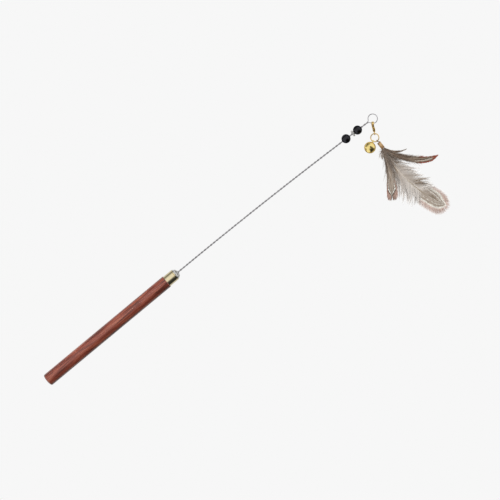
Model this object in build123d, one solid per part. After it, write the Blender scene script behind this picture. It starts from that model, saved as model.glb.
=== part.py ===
from build123d import *

import os
from math import asin, atan2, cos, degrees, hypot, pi, radians, sin, sqrt, tan

# Cat teaser wand in millimetres: the wand leans up towards +X, its middle plane is Y = 0, and the
# lure hangs along -Z from the eye at the wire's tip. The origin is the middle of the wooden grip.

# Clearances
seat_gap = 0.05  # glued and pressed seats
thread_gap = 0.1  # threaded pieces round the wire, and the gap between them
link_gap = 0.2  # loose links round the wire that carries them

# Handle
wand_lean = 39.7  # degrees above level
handle_diameter = 12.0
handle_length = 143.0
butt_rounding = 1.3
shoulder_chamfer = 0.4
wire_seat = 30.0  # length of wire glued into the wood

# Ferrule
ferrule_diameter = 10.8
ferrule_length = 10.0
ferrule_wall = 0.5
rim_height = 1.0
rim_groove = 0.25  # depth of the groove under the rim
tenon_recess = 2.0  # from the wood's end to the ferrule's rim

# Filigree cap
cap_diameter = 9.7
cap_height = 3.5
cap_wall = 0.45
cap_petals = 8
cap_opening = 1.5
opening_share = 0.6  # of the way from the top of the dome to its edge
cap_scallop = 1.1
cap_collar = 0.6

# Twisted wire and its eye
strand_diameter = 0.8
wire_length = 223.0
wire_drop = 5.5  # how far the tip bows below the handle's axis
eye_neck = 1.3
eye_diameter = 8.7  # to the middle of the strand
wire_flat = 0.98  # depth over width of wire bent into a ring

# Beads and spacer
bead_diameter = 8.4
bead_edge = 0.3
tip_gap = 7.7  # bare wire between the upper bead and the eye
bead_gap = 2.9  # bare wire between the lower bead and the spacer
spacer_diameter = 6.3
spacer_thickness = 1.9
spacer_grains = 9
grain_chamfer = 0.35

# Lobster clasp
clasp_lean = 10.5  # degrees off plumb
clasp_reach = 10.7  # from the eye's wire to the bar of the tail eye
clasp_thickness = 2.2
clasp_chamfer = 0.35
claw_diameter = 5.8
claw_wall = 1.1
throat_length = 1.9
throat_diameter = 2.6
housing_end = 2.2  # diameter of the housing's lower end
tail_wire = 0.8
tail_hole = 1.9
tail_chamfer = 0.2
rivet_diameter = 0.7
pivot_depth = 1.2  # below the claw's throat
pivot_inset = 0.75  # from the edge of the housing
lever_thickness = 1.1
nub_diameter = 0.9
nub_reach = 1.1
spring_strip = 0.15
spring_width = 0.9

# Jump ring
ring_diameter = 8.5
ring_wire = 0.95
ring_cut = 0.1
ring_cut_angle = 150.0

# Jingle bell
bell_angle = 26.0  # where it hangs on the ring, degrees left of the bottom
bell_diameter = 10.6
bell_wall = 0.4
bell_gap = 0.6  # between the ring and the bell
bell_bands = 12  # pressed bands round the inside
seam_height = 0.45
seam_proud = 0.12
slit_width = 0.9
slit_reach = 52.0  # degrees from the bottom of the cup
slit_end = 1.7
strap_width = 1.5
strap_thickness = 0.4
strap_foot = 1.1
pellet_diameter = 3.4

# Feather crimp
crimp_angle = 38.6  # where it hangs on the ring, degrees right of the bottom
crimp_length = 6.6
crimp_neck = 1.9  # from the ring's wire to the folded body
crimp_width = 3.4
crimp_depth = 2.9
crimp_wall = 0.4
crimp_corner = 0.9
crimp_seam = 0.2
crimp_eye_wall = 0.55
crimp_eye_thickness = 0.7
crimp_neck_width = 1.6

# Feathers: each quill leaves the crimp at an angle to +X, turns in the picture plane and sweeps in Y
quill_diameter = 0.8
quill_seat = 5.0
quill_spread = 1.1
quill_layer = 1.0
quill_tip = 0.3
vane_thickness = 0.3
rib_share = 0.94  # share of the length that the rachis reaches
rachis_thickness = 0.6
large_length = 84.0
large_width = 27.0
large_angle = -60.3
large_turn = 39.7
large_sweep = 6.0
left_length = 49.5
left_width = 9.4
left_angle = -71.0
left_turn = -18.6
left_sweep = -4.0
right_length = 53.0
right_width = 6.6
right_angle = -41.0
right_turn = 66.0
right_sweep = -6.0
wisp_length = 22.0
wisp_width = 2.4
wisp_angle = -33.0
wisp_turn = 60.0
wisp_sweep = 3.0

# Vane outlines: share of the length, then share of the half width on each side
large_vane = ((0.1, 0.12, 0.12), (0.38, 0.95, 0.9), (0.62, 1.0, 0.95), (0.88, 0.78, 0.78))
slim_vane = ((0.14, 0.15, 0.15), (0.42, 0.8, 0.85), (0.72, 1.0, 1.0), (0.92, 0.72, 0.72))

# Places along the wand's axis, from the middle of the grip
handle_top = handle_length / 2
rim_top = handle_top + ferrule_length
tenon_top = rim_top - tenon_recess
cap_top = rim_top + cap_height
ferrule_bore = ferrule_diameter / 2 - ferrule_wall
strand_radius = strand_diameter / 2
wire_radius = strand_diameter
lean = radians(wand_lean)
wand_plane = Plane(origin=(0, 0, 0), x_dir=(0, -1, 0), z_dir=(cos(lean), 0, sin(lean)))


def turned(profile, plane):
    """Solid of revolution of an XZ profile about the Z axis of a plane."""
    return plane * revolve(Plane.XZ * profile, Axis.Z)


def span(low, high, inner, outer):
    """Profile between two radii and two heights."""
    return Pos((inner + outer) / 2, (low + high) / 2) * Rectangle(outer - inner, high - low)


def capsule(start, start_radius, end, end_radius):
    """Round-ended outline that tapers from one circle to another along their common tangents."""
    run = Vector(*end) - Vector(*start)
    lean_in = degrees(asin((start_radius - end_radius) / run.length))
    corners = []
    for side in (-1, 1):
        normal = run.normalized().rotate(Axis.Z, side * (90 - lean_in))
        tangent = [Vector(*start) + normal * start_radius, Vector(*end) + normal * end_radius]
        corners += tangent[::-side]
    web = make_face(Polyline(*corners, close=True))
    return Pos(*start) * Circle(start_radius) + Pos(*end) * Circle(end_radius) + web


def region(left, right, low, high):
    """Rectangle between four edges."""
    return Pos((left + right) / 2, (low + high) / 2) * Rectangle(right - left, high - low)


def slab(sketch, thickness):
    """Sketch extruded evenly to both sides of its plane."""
    return extrude(sketch, thickness / 2, both=True)


def hoop(radius, wire_width, arc):
    """Wire bent into a ring about the Z axis."""
    section = Pos(radius, 0) * Ellipse(wire_width / 2, wire_width / 2 * wire_flat)
    return revolve(Plane.XZ * section, Axis.Z, revolution_arc=arc)


# Handle with its tenon and the blind bore for the wire
wire_bore = wire_radius + seat_gap
bore_floor = tenon_top - wire_seat
grip = span(-handle_top, handle_top, 0, handle_diameter / 2)
grip = fillet(grip.vertices().group_by(Axis.Y)[0].sort_by(Axis.X)[-1], butt_rounding)
grip = chamfer(grip.vertices().group_by(Axis.Y)[-1].sort_by(Axis.X)[-1], shoulder_chamfer)
tenon = span(handle_top, tenon_top, 0, ferrule_bore - seat_gap)
bore = span(bore_floor, tenon_top, 0, wire_bore)
handle = turned(grip + tenon - bore, wand_plane)

# Ferrule with a groove under its rim
groove_height = rim_top - rim_height
ferrule_wall_profile = span(handle_top, rim_top, ferrule_bore, ferrule_diameter / 2)
ferrule_wall_profile -= Pos(ferrule_diameter / 2, groove_height) * RegularPolygon(rim_groove, 4)
ferrule = turned(ferrule_wall_profile, wand_plane)

# Filigree cap: a domed shell with a ring of openings, a scalloped edge and a collar for the wire
cap_radius = cap_diameter / 2
dome_radius = (cap_radius**2 + cap_height**2) / (2 * cap_height)
dome_drop = cap_height - dome_radius
dome_angle = degrees(asin(cap_radius / dome_radius))
dome = Sphere(dome_radius) - Sphere(dome_radius - cap_wall)
for petal in range(cap_petals):
    turn = 360 / cap_petals * (petal + 0.5)
    opening = Pos(0, 0, dome_radius) * Cylinder(cap_opening / 2, dome_radius)
    dome -= Rot(0, 0, turn) * Rot(0, dome_angle * opening_share, 0) * opening
dome = Pos(0, 0, rim_top + dome_drop) * dome
dome = split(dome, bisect_by=Plane.XY.offset(rim_top), keep=Keep.TOP)
for petal in range(cap_petals):
    scallop = Pos(cap_radius, 0, rim_top) * Rot(0, 90, 0) * Cylinder(cap_scallop / 2, cap_radius)
    dome -= Rot(0, 0, 360 / cap_petals * petal) * scallop
collar_radius = wire_radius + thread_gap + cap_wall
dome += Pos(0, 0, cap_top - cap_collar / 4) * Cylinder(collar_radius, cap_collar)
dome -= Pos(0, 0, cap_top) * Cylinder(wire_radius + thread_gap, 2 * cap_height)
ferrule_cap = wand_plane * dome

# Cast glue that fills the ferrule's mouth and rises into the dome
glue_plug = span(tenon_top, rim_top, wire_bore, ferrule_bore - seat_gap)
glue_limit = dome_radius - cap_wall - seat_gap
glue_base = sqrt(glue_limit**2 - dome_drop**2)
glue_top = rim_top + dome_drop + sqrt(glue_limit**2 - collar_radius**2)
glue_slope = Polyline(
    (wire_bore, rim_top), (glue_base, rim_top), (collar_radius, glue_top), (wire_bore, glue_top), close=True
)
glue_bed = turned(glue_plug + make_face(glue_slope), wand_plane)

# Wire: straight in the handle, then one gentle bow to its tip
bow_radius = wire_length**2 / (2 * wire_drop)
wire_root = (cap_top * cos(lean), cap_top * sin(lean))


def wire_plane(along):
    """Plane across the bowed wire, a distance along it from the cap."""
    angle = lean - along / bow_radius
    x = wire_root[0] + bow_radius * (sin(lean) - sin(angle))
    z = wire_root[1] + bow_radius * (cos(angle) - cos(lean))
    return Plane(origin=(x, 0, z), x_dir=(0, -1, 0), z_dir=(cos(angle), 0, sin(angle)))


seat_start = (bore_floor * cos(lean), bore_floor * sin(lean))
bow_turn = degrees(wire_length / bow_radius)
stem_path = Line(seat_start, wire_root)
stem_path += JernArc(wire_root, (cos(lean), sin(lean)), bow_radius, -bow_turn)
stem_path = Plane.XZ * stem_path
stem = sweep((stem_path ^ 0) * Circle(wire_radius), path=stem_path)
neck_plane = wire_plane(wire_length)
eye_radius = eye_diameter / 2
neck = Pos(0, 0, eye_neck / 2) * Cone(wire_radius, strand_radius, eye_neck)
eye = Pos(0, 0, eye_neck + eye_radius) * Rot(0, 90, 0) * hoop(eye_radius, strand_diameter, 360)
wire = stem + neck_plane * (neck + eye)

# Threaded beads with eased holes
bead_radius = bead_diameter / 2
thread_hole = wire_radius + thread_gap
hole_level = sqrt(bead_radius**2 - thread_hole**2)
upper_bead_at = wire_length - tip_gap - bead_radius
spacer_at = upper_bead_at - bead_radius - thread_gap - spacer_thickness / 2
lower_bead_at = spacer_at - spacer_thickness / 2 - bead_gap - bead_radius


def bead():
    """Round bead with a through hole and eased hole edges."""
    half = Circle(bead_radius) & region(thread_hole, bead_diameter, -bead_radius, bead_radius)
    for level in (-hole_level, hole_level):
        half -= Pos(thread_hole, level) * RegularPolygon(bead_edge, 4)
    return turned(half, Plane.XY)


lower_bead = wire_plane(lower_bead_at) * bead()
upper_bead = wire_plane(upper_bead_at) * bead()

# Daisy spacer: a ring of grains round a short tube
grain_radius = spacer_thickness / 2
grain_circle = spacer_diameter / 2 - grain_radius
grain = Cylinder(grain_radius, spacer_thickness)
grain = chamfer(grain.edges().filter_by(GeomType.CIRCLE), grain_chamfer)
daisy = Cylinder(grain_circle, spacer_thickness - grain_chamfer)
for number in range(spacer_grains):
    daisy += Rot(0, 0, 360 / spacer_grains * number) * Pos(grain_circle, 0, 0) * grain
daisy -= Cylinder(thread_hole, spacer_thickness)
spacer = wire_plane(spacer_at) * daisy

# Clasp plane: X across the clasp, Y up its length, origin at the middle of the eye's wire
eye_centre = neck_plane.from_local_coords((0, 0, eye_neck + eye_radius))
eye_foot = eye_centre - Vector(0, 0, eye_radius)
clasp_tilt = radians(clasp_lean)
clasp_plane = Plane(
    origin=eye_foot, x_dir=(0, 1, 0), z_dir=(cos(clasp_tilt), 0, sin(clasp_tilt))
)
claw_radius = claw_diameter / 2
claw_hole = claw_radius - claw_wall
claw_top = strand_radius + link_gap + claw_wall
claw_level = claw_top - claw_radius
throat_level = claw_level - throat_length
throat_floor = throat_level - throat_diameter / 2
tail_radius = (tail_hole + tail_wire) / 2
tail_level = tail_radius - clasp_reach
housing_level = tail_level + tail_radius + housing_end / 2

# Lever pivot, set in from the tapering edge of the housing
taper = asin((claw_radius - housing_end / 2) / (claw_level - housing_level))


def half_width(level):
    """Half the housing's width at a level."""
    return claw_radius / cos(taper) - (claw_level - level) * tan(taper)


pivot_level = throat_floor - pivot_depth
pivot = (pivot_inset - half_width(pivot_level), pivot_level)
lever_reach = hypot(*pivot) - strand_radius - 2 * link_gap
lever_root = pivot_inset - 2 * seat_gap
slot_side = throat_diameter / 2 - claw_wall / 2
slot_floor = pivot_level - lever_root - link_gap

# Clasp body: claw, slotted housing and tail eye
claw_outline = capsule((0, claw_level), claw_radius, (0, housing_level), housing_end / 2)
claw_window = capsule((0, claw_level), claw_hole, (0, throat_level), throat_diameter / 2)
claw = slab(claw_outline - claw_window, clasp_thickness)
claw = chamfer(claw.faces().filter_by(Axis.Z).edges(), min(clasp_chamfer, claw_wall / 3))
tail = slab(Circle(tail_radius + tail_wire / 2) - Circle(tail_hole / 2), tail_wire)
tail = chamfer(tail.faces().filter_by(Axis.Z).edges(), tail_chamfer)
mouth = Pos(*pivot) * Circle(lever_reach + link_gap)
mouth &= region(-claw_diameter, -claw_hole / 2, throat_floor, claw_top)
claw -= slab(mouth, 2 * clasp_thickness)
slot = region(-claw_diameter, slot_side, slot_floor, throat_level)
claw -= slab(slot, lever_thickness + 2 * seat_gap)
claw -= Pos(*pivot) * Cylinder(rivet_diameter / 2 + seat_gap / 2, 2 * clasp_thickness)
claw += Pos(0, tail_level) * tail
clasp_body = clasp_plane * claw

# Lever with its thumb nub, its tip cut on a circle about the pivot
lever_arm = capsule((claw_wall / 2 - claw_radius, claw_level), claw_wall / 2, pivot, lever_root)
nub_level = pivot_level + nub_diameter
nub_tip = (-half_width(nub_level) - nub_reach + nub_diameter / 2, nub_level)
lever_arm += capsule(nub_tip, nub_diameter / 2, pivot, lever_root)
lever_arm &= Pos(*pivot) * Circle(lever_reach)
lever_arm -= Pos(*pivot) * Circle(rivet_diameter / 2 + seat_gap)
clasp_trigger = clasp_plane * slab(lever_arm, lever_thickness)

# Rivet through both cheeks
clasp_rivet = clasp_plane * Pos(*pivot) * Cylinder(rivet_diameter / 2, clasp_thickness)

# Bent leaf spring between the slot's wall and the lever
spring_wall = slot_side - spring_strip
spring_rest = pivot[0] + lever_root + spring_strip
leaf_line = Polyline(
    (spring_wall, throat_floor),
    (spring_wall, slot_floor + spring_strip),
    (spring_rest, pivot_level),
)
clasp_spring = clasp_plane * slab(trace(leaf_line, spring_strip), spring_width)

# Jump ring hanging in the picture plane from the tail eye
ring_radius = (ring_diameter - ring_wire) / 2
tail_bar = clasp_plane.from_local_coords((0, -clasp_reach, 0))
ring_hang = ring_radius - ring_wire / 2 - tail_wire / 2 - link_gap
ring_centre = tail_bar - Vector(0, 0, ring_hang)
cut_share = degrees(ring_cut / ring_radius)
ring_plane = Plane(origin=ring_centre, x_dir=(1, 0, 0), z_dir=(0, -1, 0))
cut_ring = hoop(ring_radius, ring_wire, 360 - cut_share)
jump_ring = ring_plane * Rot(0, 0, ring_cut_angle + cut_share / 2) * cut_ring


def ring_direction(angle):
    """Direction from the ring's centre, degrees from straight down towards +X."""
    return Vector(sin(radians(angle)), 0, -cos(radians(angle)))


# Bell plane: Z up to the ring, X towards -Y, Y along the ring's wire
bell_radius = bell_diameter / 2
bell_bore = bell_radius - bell_wall
bell_inside = bell_bore * cos(pi / bell_bands)
bell_out = ring_direction(-bell_angle)
bell_hook = ring_centre + bell_out * ring_radius
bell_hang = bell_radius + bell_gap + ring_wire / 2
bell_centre = bell_hook + bell_out * bell_hang
bell_plane = Plane(origin=bell_centre, x_dir=(0, -1, 0), z_dir=bell_out * -1)

# Bell halves: a plain crown with two leg slots, and a cup with crossed slits
strap_hole = ring_wire / 2 + link_gap
strap_leg = strap_hole + strap_thickness / 2
shell_profile = Circle(bell_radius) - RegularPolygon(bell_bore, bell_bands)
shell = turned(shell_profile & region(0, bell_radius, -bell_radius, bell_radius), Plane.XY)
crown = split(shell, bisect_by=Plane.XY, keep=Keep.TOP)
for side in (-1, 1):
    leg_slot = Box(strap_thickness + 2 * seat_gap, strap_width + 2 * seat_gap, bell_diameter)
    crown -= Pos(side * strap_leg, 0, bell_radius) * leg_slot
bell_crown = bell_plane * crown
cup = split(shell, bisect_by=Plane.XY, keep=Keep.BOTTOM)
seam = Cylinder(bell_radius + seam_proud, seam_height) - Cylinder(bell_radius - bell_wall / 2, seam_height)
cup += Pos(0, 0, -seam_height / 2) * seam
slit_run = bell_diameter * sin(radians(slit_reach))
slit_top = bell_radius * (1 - cos(radians(slit_reach)))
for turn in (45, 135):
    slit = Pos(0, 0, slit_top / 2 - bell_radius) * Box(slit_run, slit_width, slit_top)
    cup -= Rot(0, 0, turn) * slit
    for side in (-1, 1):
        end_hole = Pos(0, 0, -bell_radius) * Cylinder(slit_end / 2, 4 * bell_wall)
        cup -= Rot(0, 0, turn) * Rot(0, side * slit_reach, 0) * end_hole
bell_cup = bell_plane * cup

# Strap shank: an arch over the ring's wire, two legs and turned-out feet inside the crown
strap_outer = strap_hole + strap_thickness
foot_end = strap_hole + strap_foot
foot_top = sqrt(bell_inside**2 - foot_end**2 - strap_width**2 / 4) - seat_gap
foot_floor = foot_top - strap_thickness
arch = Pos(0, bell_hang) * Circle(strap_outer) + region(-strap_outer, strap_outer, foot_floor, bell_hang)
arch -= Pos(0, bell_hang) * Circle(strap_hole)
arch -= region(-strap_hole, strap_hole, foot_floor, bell_hang)
for side in (-1, 1):
    near, far = sorted((side * strap_hole, side * foot_end))
    arch += region(near, far, foot_floor, foot_top)
bell_strap = bell_plane * slab(Plane.XZ * arch, strap_width)

# Pellet at the lowest point of the bell's inside
pellet_radius = pellet_diameter / 2
pellet_drop = bell_inside - pellet_radius - link_gap
bell_pellet = Pos(bell_centre - Vector(0, 0, pellet_drop)) * Sphere(pellet_radius)

# Crimp plane: Z down to the mouth, X along the ring's wire, Y towards -Y
crimp_out = ring_direction(crimp_angle)
crimp_hook = ring_centre + crimp_out * ring_radius
crimp_plane = Plane(origin=crimp_hook, x_dir=(-crimp_out.Z, 0, crimp_out.X), z_dir=crimp_out)
crimp_mouth = crimp_neck + crimp_length

# Feather crimp: folded sleeve with a side seam, a bent neck and an eye on the ring
sleeve = RectangleRounded(crimp_width, crimp_depth, crimp_corner)
sleeve -= RectangleRounded(
    crimp_width - 2 * crimp_wall, crimp_depth - 2 * crimp_wall, crimp_corner - crimp_wall
)
sleeve -= Pos(-crimp_width / 2, 0) * Rectangle(4 * crimp_wall, crimp_seam)
crimp = Pos(0, 0, crimp_neck) * extrude(sleeve, crimp_length)
crimp_eye_hole = ring_wire / 2 + link_gap
crimp_eye_radius = crimp_eye_hole + crimp_eye_wall
eye_half = crimp_eye_thickness / 2
neck_line = Polyline(
    (-eye_half, crimp_eye_hole + crimp_eye_wall / 2),
    (eye_half, crimp_eye_hole + crimp_eye_wall / 2),
    (crimp_width / 2, crimp_neck),
    (crimp_width / 2, crimp_neck + 2 * crimp_wall),
    (crimp_width / 2 - crimp_wall, crimp_neck + 2 * crimp_wall),
    (-eye_half, crimp_eye_radius),
    close=True,
)
crimp += slab(Plane.XZ * make_face(neck_line), crimp_neck_width)
crimp += Rot(0, 90, 0) * Cylinder(crimp_eye_radius, crimp_eye_thickness)
crimp -= Rot(0, 90, 0) * Cylinder(crimp_eye_hole, 2 * crimp_eye_thickness)
feather_crimp = crimp_plane * crimp


def feather(column, layer, length, width, angle, turn, sweep_depth, vane):
    """Feather: a quill in the crimp, a tapering rachis and a thin vane, curved in and out of plane."""
    quill_at = (column * quill_spread / 2, layer * quill_layer / 2)
    root = crimp_plane.from_local_coords((*quill_at, crimp_mouth))
    start = radians(angle)
    bend = radians(turn) / length

    def place(along, across):
        """Picture-plane point along and across the rachis."""
        here = start + bend * along
        x = root.X + (sin(here) - sin(start)) / bend - across * sin(here)
        z = root.Z - (cos(here) - cos(start)) / bend + across * cos(here)
        return x, z

    tip = place(length, 0)
    chord = atan2(tip[1] - root.Z, tip[0] - root.X)
    chord_length = hypot(tip[0] - root.X, tip[1] - root.Z)
    side_plane = Plane(origin=root, x_dir=(cos(chord), 0, sin(chord)), z_dir=(-sin(chord), 0, cos(chord)))
    sweep_radius = chord_length**2 / (2 * sweep_depth)

    def curved(outline, thickness):
        """Outline of the picture plane cut from a sheet that sweeps out of it."""
        arcs = Circle(abs(sweep_radius) + thickness / 2) - Circle(abs(sweep_radius) - thickness / 2)
        strip = Pos(0, sweep_radius) * arcs
        strip &= Rectangle(3 * chord_length, chord_length)
        sheet = slab(side_plane * strip, 2 * length)
        return sheet & slab(Plane.XZ * outline, 2 * length)

    half = width / 2
    near = [place(share * length, left * half) for share, left, right in vane]
    far = [place(share * length, -right * half) for share, left, right in reversed(vane)]
    edge = Spline(*near, tip, *far)
    blade = curved(make_face(edge + Line(edge @ 1, edge @ 0)), vane_thickness)
    root_half, tip_half = quill_diameter / 2, quill_tip / 2
    rib_shares = (0, rib_share / 2, rib_share)
    rib = [place(share * length, root_half + (tip_half - root_half) * share) for share in rib_shares]
    back = [place(share * length, (root_half - tip_half) * share - root_half) for share in rib_shares]
    back.reverse()
    rib_edge = ThreePointArc(*rib) + Line(rib[-1], back[0]) + ThreePointArc(*back) + Line(back[-1], rib[0])
    rachis = curved(make_face(rib_edge), rachis_thickness)
    quill_reach = quill_seat + quill_diameter
    quill = Cylinder(quill_diameter / 2, quill_reach)
    quill = Pos(*quill_at, crimp_mouth + quill_diameter - quill_reach / 2) * quill
    return blade + rachis + crimp_plane * quill


feather_large = feather(
    -1, -1, large_length, large_width, large_angle, large_turn, large_sweep, large_vane
)
feather_left = feather(-1, 1, left_length, left_width, left_angle, left_turn, left_sweep, slim_vane)
feather_right = feather(
    1, 1, right_length, right_width, right_angle, right_turn, right_sweep, slim_vane
)
feather_wisp = feather(1, -1, wisp_length, wisp_width, wisp_angle, wisp_turn, wisp_sweep, slim_vane)

pieces = {
    "handle": handle,
    "ferrule": ferrule,
    "ferrule_cap": ferrule_cap,
    "glue_bed": glue_bed,
    "wire": wire,
    "lower_bead": lower_bead,
    "spacer": spacer,
    "upper_bead": upper_bead,
    "clasp_body": clasp_body,
    "clasp_trigger": clasp_trigger,
    "clasp_rivet": clasp_rivet,
    "clasp_spring": clasp_spring,
    "jump_ring": jump_ring,
    "bell_crown": bell_crown,
    "bell_cup": bell_cup,
    "bell_strap": bell_strap,
    "bell_pellet": bell_pellet,
    "feather_crimp": feather_crimp,
    "feather_large": feather_large,
    "feather_left": feather_left,
    "feather_right": feather_right,
    "feather_wisp": feather_wisp,
}
os.makedirs("parts", exist_ok=True)
for name, piece in pieces.items():
    export_step(piece, f"parts/{name}.step")
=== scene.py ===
from math import cos, hypot, pi, radians, sin
from random import Random

import bmesh
import bpy
from bpy.props import FloatProperty, FloatVectorProperty, IntProperty, PointerProperty
from mathutils import Matrix, Vector


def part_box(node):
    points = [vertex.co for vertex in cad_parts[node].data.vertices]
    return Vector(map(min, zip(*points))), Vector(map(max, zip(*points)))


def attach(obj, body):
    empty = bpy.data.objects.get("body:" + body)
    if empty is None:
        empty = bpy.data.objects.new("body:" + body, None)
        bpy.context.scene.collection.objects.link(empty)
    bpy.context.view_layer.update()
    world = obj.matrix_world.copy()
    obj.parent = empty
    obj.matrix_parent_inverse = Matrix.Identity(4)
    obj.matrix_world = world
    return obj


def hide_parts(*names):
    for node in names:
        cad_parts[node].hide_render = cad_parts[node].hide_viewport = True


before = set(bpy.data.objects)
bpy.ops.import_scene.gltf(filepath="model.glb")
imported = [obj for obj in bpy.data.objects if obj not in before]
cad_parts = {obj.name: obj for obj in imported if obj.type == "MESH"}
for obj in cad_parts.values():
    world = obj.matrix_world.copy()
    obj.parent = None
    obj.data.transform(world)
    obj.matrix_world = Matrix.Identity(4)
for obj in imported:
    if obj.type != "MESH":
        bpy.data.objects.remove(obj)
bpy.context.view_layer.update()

bl_info = {
    "name": "Cat teaser wand",
    "version": (1, 0, 0),
    "blender": (4, 5, 0),
    "location": "3D View > Sidebar > Wand",
    "description": "Dresses a cat teaser wand with its wood, twisted wire, findings and feathers",
    "category": "Object",
}

mm = 0.001

# Places and sizes shared with the solids, in metres
wand_lean = radians(39.7)
wand_axis = Vector((cos(wand_lean), 0, sin(wand_lean)))
rim_top = 81.5 * mm
dome_radius = 5.11 * mm
dome_drop = 1.61 * mm
wire_root = wand_axis * 85 * mm
wire_length = 223 * mm
bow_radius = 4.5208
eye_radius = 4.35 * mm
eye_reach = 5.65 * mm
spacer_at = 205.85 * mm
feather_root = Vector((254.116, 0, 168.335)) * mm
feather_root_right = Vector((254.976, 0, 169.021)) * mm
front_layer = Vector((0, -0.5 * mm, 0))
back_layer = Vector((0, 0.5 * mm, 0))

# Stage, in metres: the lamps' places from the point aimed at, and the card's from the middle of the bell
key_place = (-0.27, -1.03, 0.35)
back_place = (0.27, 1.03, 0.35)
side_places = ((-1.07, 0, 0.35), (1.07, 0, 0.35))
lamp_width = 0.4
card_offset = Vector((2.9, -20, 1.6)) * mm
card_half = (5.6 * mm, 5 * mm)
floor_half = 6

# Width of the camera's film in millimetres
film_width = 36


def tone(red, green, blue):
    """Linear colour of a screen colour given from 0 to 255."""
    shares = (red / 255, green / 255, blue / 255)
    return tuple(c / 12.92 if c <= 0.04 else ((c + 0.055) / 1.055) ** 2.4 for c in shares)


def colour(name, description, *screen):
    """Colour property with its default as a screen colour."""
    return FloatVectorProperty(
        name=name, description=description, subtype="COLOR", size=3, min=0, max=1, default=tone(*screen)
    )


def size(name, description, default):
    """Length property in metres."""
    return FloatProperty(name=name, description=description, unit="LENGTH", precision=5, default=default)


def power(name, description, default):
    """Lamp power property in watts."""
    return FloatProperty(name=name, description=description, unit="POWER", default=default)


def whole(name, description, default, low, high):
    """Whole number property with its limits."""
    return IntProperty(name=name, description=description, default=default, min=low, max=high)


class WandLooks(bpy.types.PropertyGroup):
    """Sizes and colours of the wand and its findings."""

    wood_main: colour("Rosewood", "Main colour of the handle", 120, 57, 43)
    wood_dark: colour("Dark grain", "Colour of the handle's dark streaks", 80, 36, 26)
    wood_light: colour("Light grain", "Colour of the handle's light streaks", 146, 82, 62)
    brass: colour("Pale brass", "Colour of the ferrule", 232, 218, 180)
    silver: colour("Silver", "Colour of the cap and the spacer", 226, 225, 222)
    steel: colour("Wire", "Colour of the twisted wire", 200, 197, 200)
    bead_black: colour("Bead", "Colour of the beads", 52, 52, 55)
    gold: colour("Gold", "Colour of the clasp and the jump ring", 238, 205, 135)
    bell_gold: colour("Bell gold", "Colour of the bell", 252, 228, 150)
    crimp_gold: colour("Crimp brass", "Colour of the feather crimp", 206, 172, 128)
    strand: size("Strand", "Diameter of one strand of the wire", 0.8 * mm)
    lay: size("Lay", "Length of one full twist of the wire", 7.2 * mm)
    grains: whole("Grains", "Grains round the daisy spacer", 9, 5, 16)
    petals: whole("Petals", "Openings round the filigree cap", 8, 4, 12)


class FeatherLooks(bpy.types.PropertyGroup):
    """Fullness and colours of the feathers."""

    fullness: FloatProperty(
        name="Fullness", description="Share of the barbs to grow", default=1.0, min=0.1, max=2.0
    )
    barb: size("Barb", "Width of one barb", 0.28 * mm)
    down_pale: colour("Pale down", "Ends of the down", 224, 219, 214)
    down_light: colour("Light down", "Down by the marked tip", 204, 196, 188)
    down_mid: colour("Grey down", "Middle of the down", 186, 176, 167)
    down_dark: colour("Dark down", "Down by the crimp", 98, 86, 77)
    taupe: colour("Taupe", "Ground of the marked tips", 140, 125, 110)
    drab: colour("Drab", "Beside the shaft in the large tip", 116, 101, 84)
    tawny: colour("Tawny", "Middle of the large tip", 160, 147, 134)
    fawn: colour("Fawn", "Light ground of the marked tips", 182, 172, 162)
    cream: colour("Cream", "Pale lines of the marked tips", 228, 224, 214)
    umber: colour("Umber", "Dark lines of the marked tips", 78, 65, 55)
    chestnut: colour("Chestnut", "Border of the dark feather", 142, 73, 56)
    rosy: colour("Rosy brown", "Fringe of the marked tips", 172, 144, 132)
    blush: colour("Blush", "Soft fringe of the large tip", 204, 182, 172)
    dusk: colour("Dusk brown", "Ground of the dark feather", 94, 79, 68)


class StageLooks(bpy.types.PropertyGroup):
    """Camera, floor and lights."""

    distance: size("Camera distance", "From the wand's plane to the camera", 1.1)
    field: size("Field width", "Width of the picture at the wand's plane", 0.4615)
    aim_across: size("Aim across", "Picture centre along X", 0.13168)
    aim_up: size("Aim up", "Picture centre along Z", 0.0746)
    floor_level: size("Floor level", "Height of the floor", -0.21)
    pale: FloatProperty(name="Pale", description="Brightness of the floor and the backdrop", default=0.93)
    tent: FloatProperty(
        name="Tent", description="Share of the tent's light that falls on dull faces", default=0.4
    )
    key_power: power("Key", "Power of the key light", 13.3)
    back_power: power("Back", "Power of the light behind", 11.0)
    side_power: power("Side", "Power of each light beside", 5.0)


# Node trees


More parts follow.
